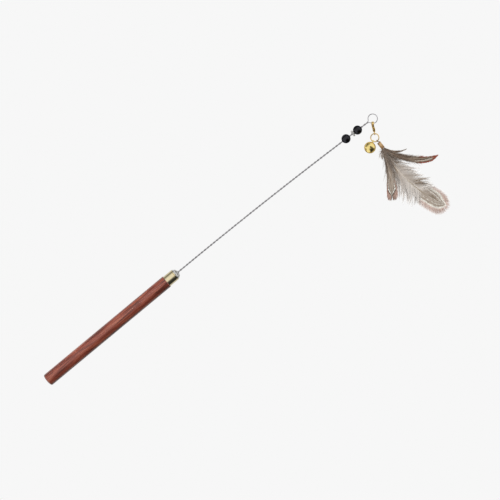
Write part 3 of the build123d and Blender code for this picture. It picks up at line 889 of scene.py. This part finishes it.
def marked_paint(looks, tree, out, share, side, tint):
    """Dull mottled down, and a tip with a pale V between dark lines."""
    span, stain = tree.span, tree.stain
    ground = tree.ramp(share, (0.26, looks.down_dark), (0.42, looks.taupe), (0.52, looks.tawny))
    mottle = span(flecks(tree, side, share, 10.0, 16.0), 0.42, 0.62, 0, 0.3)
    ground = stain(ground, looks.tawny, mottle)
    rim = tree.times(span(share, 0.08, 0.05, 0, 0.7), span(side, 0.36, 0.2))
    rim = tree.maths("MAXIMUM", rim, span(out, 0.5, 1.0, 0, 0.3))
    ground = stain(ground, looks.down_mid, rim)
    dim = tree.times(span(side, 0.56, 0.44, 0, 0.75), span(side, 0.16, 0.36, 0.1, 1))
    ground = stain(ground, looks.dusk, dim)
    ground = stain(ground, looks.fawn, span(out, 0.2, 0.0, 0, 0.8), span(share, 0.36, 0.5))
    # Marks of the tip, its chestnut flank, the dull right lobe and the dark slit between the lobes
    fall = tree.maths("ADD", ripple(tree, out, share), span(share, 0.6, 0.85, -0.02, 0.18))
    marks = tree.ramp(
        fall, (0.0, looks.taupe), (0.08, looks.tawny), (0.32, looks.tawny), (0.4, looks.umber),
        (0.44, looks.cream), (0.48, looks.cream), (0.53, looks.umber), (0.57, looks.dusk),
        (0.64, looks.rosy),
    )
    flank = tree.times(span(out, 0.6, 0.8, 0, 0.55), span(share, 0.7, 0.62))
    marks = stain(marks, looks.chestnut, flank, span(side, 0.45, 0.35, 0.15, 1))
    marks = stain(marks, looks.dusk, span(side, 0.6, 0.72, 0, 0.5), span(share, 0.72, 0.8))
    marks = stain(marks, looks.umber, span(share, 0.82, 0.84, 0, 0.9), span(out, 0.2, 0.35))
    tip = span(share, 0.47, 0.58)
    thin = tree.ramp(out, (0.0, 1.0), (0.5, 0.85), (1.0, 0.3))
    firm = tree.ramp(out, (0.8, 1.0), (1.0, 0.5))
    return tree.mix(tip, ground, marks), tree.mix(tip, thin, firm)


class WAND_OT_feather_left(bpy.types.Operator):
    """Grow the narrow feather with the pale V and the two-lobed tip"""

    bl_idname = "wand.feather_left"
    bl_label = "Left feather"

    def execute(self, context):
        looks = context.scene.wand_feathers
        shaft = Shaft(feather_root + front_layer, length=49.5 * mm, angle=-71, turn=-18.6, sweep=-4 * mm)
        plume = Plume(looks, shaft, seed=23)
        plume.rib(root=0.4, tip=0.12, reach=0.84)
        # Down, firm tip and web on each side
        for side, spread in ((-1, 21), (1, 36)):
            plume.barbs(
                side, 280, ((0.0, 8), (0.2, 12), (0.55, 12)),
                ((0.0, 22), (0.2, spread), (0.4, spread), (0.55, 36)),
                ((0.02, 12), (0.2, spread - 20), (0.55, 18)),
                wide=0.9, ragged=0.3, stray=4, puff=0.9, tuft=5,
            )
            plume.barbs(
                side, 170, ((0.48, 14), (0.63, 17), (0.75, 13), (0.85, 7.8)),
                ((0.48, 28 + 2 * side), (0.63, 25 + side), (0.75, 24), (0.83, 10), (0.85, 4)),
                ((0.48, 16), (0.63, 9), (0.75, 9), (0.83, 9), (0.85, 5)),
                wide=1.3, ragged=0.06, stray=1.0, puff=0.25, tuft=2,
            )
            plume.barbs(
                side, 60, ((0.0, 5), (0.2, 8), (0.55, 8)), ((0.0, 22), (0.2, spread), (0.55, 34)),
                ((0.0, 14), (0.2, spread - 14), (0.55, 22)), wide=4, ragged=0.2, stray=1, puff=0.1,
            )
        # Loose barbs on the left, down by the crimp and a few strays there
        plume.barbs(
            -1, 14, ((0.12, 14), (0.42, 18)), ((0.12, 34), (0.42, 28)), ((0.12, 20), (0.42, 14)),
            wide=0.7, ragged=0.4, stray=5, puff=1.2,
        )
        plume.barbs(
            -1, 90, ((0.0, 10.5), (0.06, 10)), ((0.0, 46), (0.06, 36)), ((0.0, 18), (0.06, 6)),
            wide=1.4, ragged=0.3, stray=5, puff=0.9, tuft=4,
        )
        plume.barbs(
            -1, 12, ((0.0, 7), (0.06, 9)), ((0.0, 80), (0.06, 66)), ((0.0, 66), (0.06, 40)),
            wide=0.7, ragged=0.4, stray=12, puff=1.2,
        )
        horn = shaft_finish("dusk_shaft", tone(150, 136, 122), tone(96, 82, 72))
        finish = [feather_finish("marked_barbs", looks, marked_paint), horn]
        keep(plume.bm, "marked_feather", finish, "lure", "marked_feather", "feather_left")
        return {"FINISHED"}


def dark_paint(looks, tree, out, share, side, tint):
    """Dark mottled vane with a chestnut border and a cream line below the shaft."""
    span, stain = tree.span, tree.stain
    ground = tree.ramp(
        share, (0.05, looks.down_dark), (0.3, looks.dusk), (0.42, looks.dusk), (0.56, looks.taupe)
    )
    mottle = span(flecks(tree, side, share, 10.0, 14.0), 0.42, 0.62, 0, 0.35)
    ground = stain(ground, looks.taupe, mottle)
    ground = stain(ground, looks.taupe, span(out, 0.6, 1.0, 0, 0.5))
    upper = tree.ramp(out, (0.0, looks.umber), (0.2, looks.taupe), (0.6, looks.dusk), (0.74, looks.chestnut))
    lower = tree.ramp(
        out, (0.1, looks.umber), (0.16, looks.tawny), (0.2, looks.cream), (0.23, looks.fawn),
        (0.34, looks.tawny), (0.5, looks.taupe), (0.6, looks.umber), (0.72, looks.chestnut),
    )
    marks = tree.mix(span(side, 0.49, 0.51), lower, upper)
    marks = stain(marks, looks.chestnut, span(share, 0.84, 0.9))
    tip = span(share, 0.52, 0.62)
    thin = tree.ramp(out, (0.0, 1.0), (0.5, 0.92), (1.0, 0.35))
    firm = tree.ramp(out, (0.85, 1.0), (1.0, 0.85))
    return tree.mix(tip, ground, marks), tree.mix(tip, thin, firm)


class WAND_OT_feather_right(bpy.types.Operator):
    """Grow the dark feather with the chestnut border that sweeps right"""

    bl_idname = "wand.feather_right"
    bl_label = "Right feather"

    def execute(self, context):
        looks = context.scene.wand_feathers
        shaft = Shaft(feather_root_right + front_layer, length=53 * mm, angle=-41, turn=66, sweep=-6 * mm)
        plume = Plume(looks, shaft, seed=37)
        plume.rib(root=0.38, tip=0.1, reach=0.93)
        # Down above and below the shaft
        down_cut = dict(wide=0.9, ragged=0.25, stray=4, puff=0.9)
        plume.barbs(
            1, 320, ((0.0, 8), (0.2, 10.5), (0.6, 10)), ((0.0, 16), (0.2, 37), (0.45, 41), (0.6, 34)),
            ((0.02, 6), (0.3, 17), (0.45, 22), (0.6, 16)), **down_cut,
        )
        plume.barbs(
            -1, 320, ((0.0, 9), (0.2, 9), (0.6, 9)),
            ((0.0, 30), (0.14, 24), (0.3, 15), (0.45, 20), (0.6, 30)),
            ((0.0, 14), (0.14, 8), (0.3, -1), (0.45, 4), (0.6, 16)), **down_cut,
        )
        # Firm tip
        tip_cut = dict(wide=1.25, ragged=0.05, stray=1.0, puff=0.2)
        plume.barbs(
            1, 150, ((0.54, 9), (0.8, 7.4), (0.9, 5.4), (0.94, 3.6)),
            ((0.54, 32), (0.7, 22), (0.8, 14), (0.94, 3)), ((0.54, 16), (0.8, 7), (0.94, 1)), **tip_cut,
        )
        plume.barbs(
            -1, 170, ((0.54, 6), (0.7, 5.8), (0.8, 6), (0.88, 4.4), (0.94, 3.4)),
            ((0.54, 40), (0.7, 46), (0.8, 42), (0.88, 28), (0.94, 3)),
            ((0.54, 30), (0.7, 36), (0.8, 30), (0.88, 14), (0.94, 1)), **tip_cut,
        )
        # Web within the down, and loose barbs below
        for side, spread in ((-1, 14), (1, 26)):
            plume.barbs(
                side, 70, ((0.0, 5), (0.2, 7), (0.6, 6)), ((0.0, 16), (0.2, spread), (0.6, 24)),
                ((0.0, 8), (0.6, 14)), wide=4, ragged=0.2, stray=1, puff=0.1,
            )
        plume.barbs(
            -1, 20, ((0.4, 9), (0.6, 10)), ((0.4, 40), (0.6, 38)), ((0.4, 26), (0.6, 26)),
            wide=0.8, ragged=0.4, stray=6, puff=1.0,
        )
        horn = shaft_finish("umber_shaft", tone(120, 100, 84), tone(78, 62, 52))
        finish = [feather_finish("dark_barbs", looks, dark_paint), horn]
        keep(plume.bm, "dark_feather", finish, "lure", "dark_feather", "feather_right")
        return {"FINISHED"}


def wisp_paint(looks, tree, out, share, side, tint):
    """Brown, darkest in the middle."""
    shade = tree.ramp(share, (0.1, looks.tawny), (0.35, looks.taupe), (0.5, looks.dusk), (0.85, looks.taupe))
    return shade, tree.ramp(out, (0.0, 1.0), (0.6, 0.9), (1.0, 0.35))


class WAND_OT_feather_wisp(bpy.types.Operator):
    """Grow the small dark feather beside it"""

    bl_idname = "wand.feather_wisp"
    bl_label = "Wisp feather"

    def execute(self, context):
        looks = context.scene.wand_feathers
        shaft = Shaft(feather_root_right + back_layer, length=22 * mm, angle=-33, turn=60, sweep=3 * mm)
        plume = Plume(looks, shaft, seed=41)
        plume.rib(root=0.3, tip=0.08, reach=0.95)
        for side in (-1, 1):
            plume.barbs(
                side, 90, ((0.05, 4.5), (0.5, 5), (0.96, 3)), ((0.05, 26), (0.6, 18), (0.96, 5)),
                ((0.05, 6), (0.96, 2)), wide=0.9, ragged=0.3, stray=3, puff=0.4,
            )
        horn = shaft_finish("wisp_shaft", tone(138, 114, 100), tone(98, 80, 68))
        finish = [feather_finish("wisp_barbs", looks, wisp_paint), horn]
        keep(plume.bm, "wisp_feather", finish, "lure", "dark_feather", "feather_wisp")
        return {"FINISHED"}


# Stage


class WAND_OT_stage(bpy.types.Operator):
    """Set the floor, the surroundings, the lights and the camera"""

    bl_idname = "wand.stage"
    bl_label = "Stage"

    def execute(self, context):
        looks = context.scene.wand_stage
        scene = context.scene
        scene.view_settings.view_transform = "Standard"
        aim = Vector((looks.aim_across, 0, looks.aim_up))
        pale = (looks.pale,) * 3

        glow, _, _ = material(
            "pale_floor", Base_Color=(0.0, 0.0, 0.0), Specular_IOR_Level=0.0, Roughness=1.0,
            Emission_Color=pale, Emission_Strength=1.0,
        )
        floor_place = Matrix.Translation((0, 0, looks.floor_level)) @ Matrix.Scale(floor_half, 4)
        floor = sheet("floor", floor_place, glow)
        floor.visible_glossy = floor.visible_diffuse = False

        # Black card, seen only as its reflection in the metal
        black, _, _ = material("black_card", Base_Color=(0.02, 0.02, 0.02), Roughness=1.0)
        corners = [Vector(corner) for node in ("bell_crown", "bell_cup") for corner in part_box(node)]
        low, high = (Vector(pick(axis) for axis in zip(*corners)) for pick in (min, max))
        card_place = Matrix.Translation((low + high) / 2 + card_offset)
        card_turn = Matrix.Rotation(pi / 2, 4, "X") @ Matrix.Diagonal((*card_half, 1, 1))
        card = sheet("card", card_place @ card_turn, black)
        card.visible_camera = card.visible_diffuse = card.visible_shadow = False

        # Light tent: brightness by the turn round the wand, white towards the wand's ends
        world = bpy.data.worlds.new("light_tent")
        world.use_nodes = True
        scene.world = world
        tree = Tree(world.node_tree)
        back = world.node_tree.nodes["Background"]
        look = tree.add("ShaderNodeTexCoord").outputs["Generated"]
        rise = tree.dot(look, (-sin(wand_lean), 0, cos(wand_lean)))
        turn = tree.maths("ARCTAN2", rise, tree.dot(look, (0, -1, 0)))
        round_wand = tree.maths("ADD", tree.maths("DIVIDE", turn, 2 * pi), 0.5)
        tent = tree.ramp(
            round_wand, (0.0, 0.45), (0.08, 0.6), (0.17, 0.85), (0.215, 0.06), (0.333, 0.03), (0.403, 0.08),
            (0.444, 0.32), (0.472, 0.8), (0.49, 1.0), (0.625, 1.0), (0.672, 0.6), (0.708, 0.28),
            (0.778, 0.25), (0.811, 0.8), (0.9, 0.8), (1.0, 0.45),
        )
        ends = tree.maths("ABSOLUTE", tree.dot(look, wand_axis))
        tent = tree.stain(tent, (1.0, 1.0, 1.0), tree.span(ends, 0.5, 0.75))
        path = tree.add("ShaderNodeLightPath")
        seen = tree.mix(path.outputs["Is Camera Ray"], tent, pale)
        tree.dip(back, Color=seen, Strength=tree.span(path.outputs["Is Diffuse Ray"], 0, 1, 1, looks.tent))

        def lamp(name, watts, place):
            """Soft box aimed at the wand."""
            light = bpy.data.lights.new(name, "AREA")
            light.energy = watts
            light.size = lamp_width
            piece = bpy.data.objects.new(name, light)
            piece.location = aim + Vector(place)
            piece.rotation_euler = (-Vector(place)).to_track_quat("-Z", "Y").to_euler()
            piece.visible_camera = piece.visible_glossy = False
            scene.collection.objects.link(piece)

        lamp("key", looks.key_power, key_place)
        lamp("back", looks.back_power, back_place)
        for place in side_places:
            lamp("side", looks.side_power, place)

        lens = bpy.data.cameras.new("camera")
        lens.sensor_fit = "HORIZONTAL"
        lens.sensor_width = film_width
        lens.lens = film_width * looks.distance / looks.field
        camera = bpy.data.objects.new("camera", lens)
        camera.location = aim - Vector((0, looks.distance, 0))
        camera.rotation_euler = (pi / 2, 0, 0)
        scene.collection.objects.link(camera)
        scene.camera = camera
        return {"FINISHED"}


# Sidebar and start


class WAND_PT_sidebar(bpy.types.Panel):
    """The wand's pieces in the sidebar"""

    bl_idname = "WAND_PT_sidebar"
    bl_label = "Cat teaser wand"
    bl_space_type = "VIEW_3D"
    bl_region_type = "UI"
    bl_category = "Wand"

    def draw(self, context):
        for step in steps:
            self.layout.operator(step.bl_idname)
        for group in (context.scene.wand_looks, context.scene.wand_feathers, context.scene.wand_stage):
            for key in group.__annotations__:
                self.layout.prop(group, key)


steps = (
    WAND_OT_stage,
    WAND_OT_handle,
    WAND_OT_ferrule,
    WAND_OT_wire,
    WAND_OT_beads,
    WAND_OT_links,
    WAND_OT_bell,
    WAND_OT_crimp,
    WAND_OT_feather_large,
    WAND_OT_feather_left,
    WAND_OT_feather_right,
    WAND_OT_feather_wisp,
)
classes = (WandLooks, FeatherLooks, StageLooks, *steps, WAND_PT_sidebar)


def register():
    for one in classes:
        bpy.utils.register_class(one)
    bpy.types.Scene.wand_looks = PointerProperty(type=WandLooks)
    bpy.types.Scene.wand_feathers = PointerProperty(type=FeatherLooks)
    bpy.types.Scene.wand_stage = PointerProperty(type=StageLooks)


def unregister():
    del bpy.types.Scene.wand_looks, bpy.types.Scene.wand_feathers, bpy.types.Scene.wand_stage
    for one in reversed(classes):
        bpy.utils.unregister_class(one)


def main():
    """Register the add-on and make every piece."""
    register()
    bpy.ops.wand.stage()
    bpy.ops.wand.handle()
    bpy.ops.wand.ferrule()
    bpy.ops.wand.wire()
    bpy.ops.wand.beads()
    bpy.ops.wand.links()
    bpy.ops.wand.bell()
    bpy.ops.wand.crimp()
    bpy.ops.wand.feather_large()
    bpy.ops.wand.feather_left()
    bpy.ops.wand.feather_right()
    bpy.ops.wand.feather_wisp()


if __name__ == "__main__":
    main()
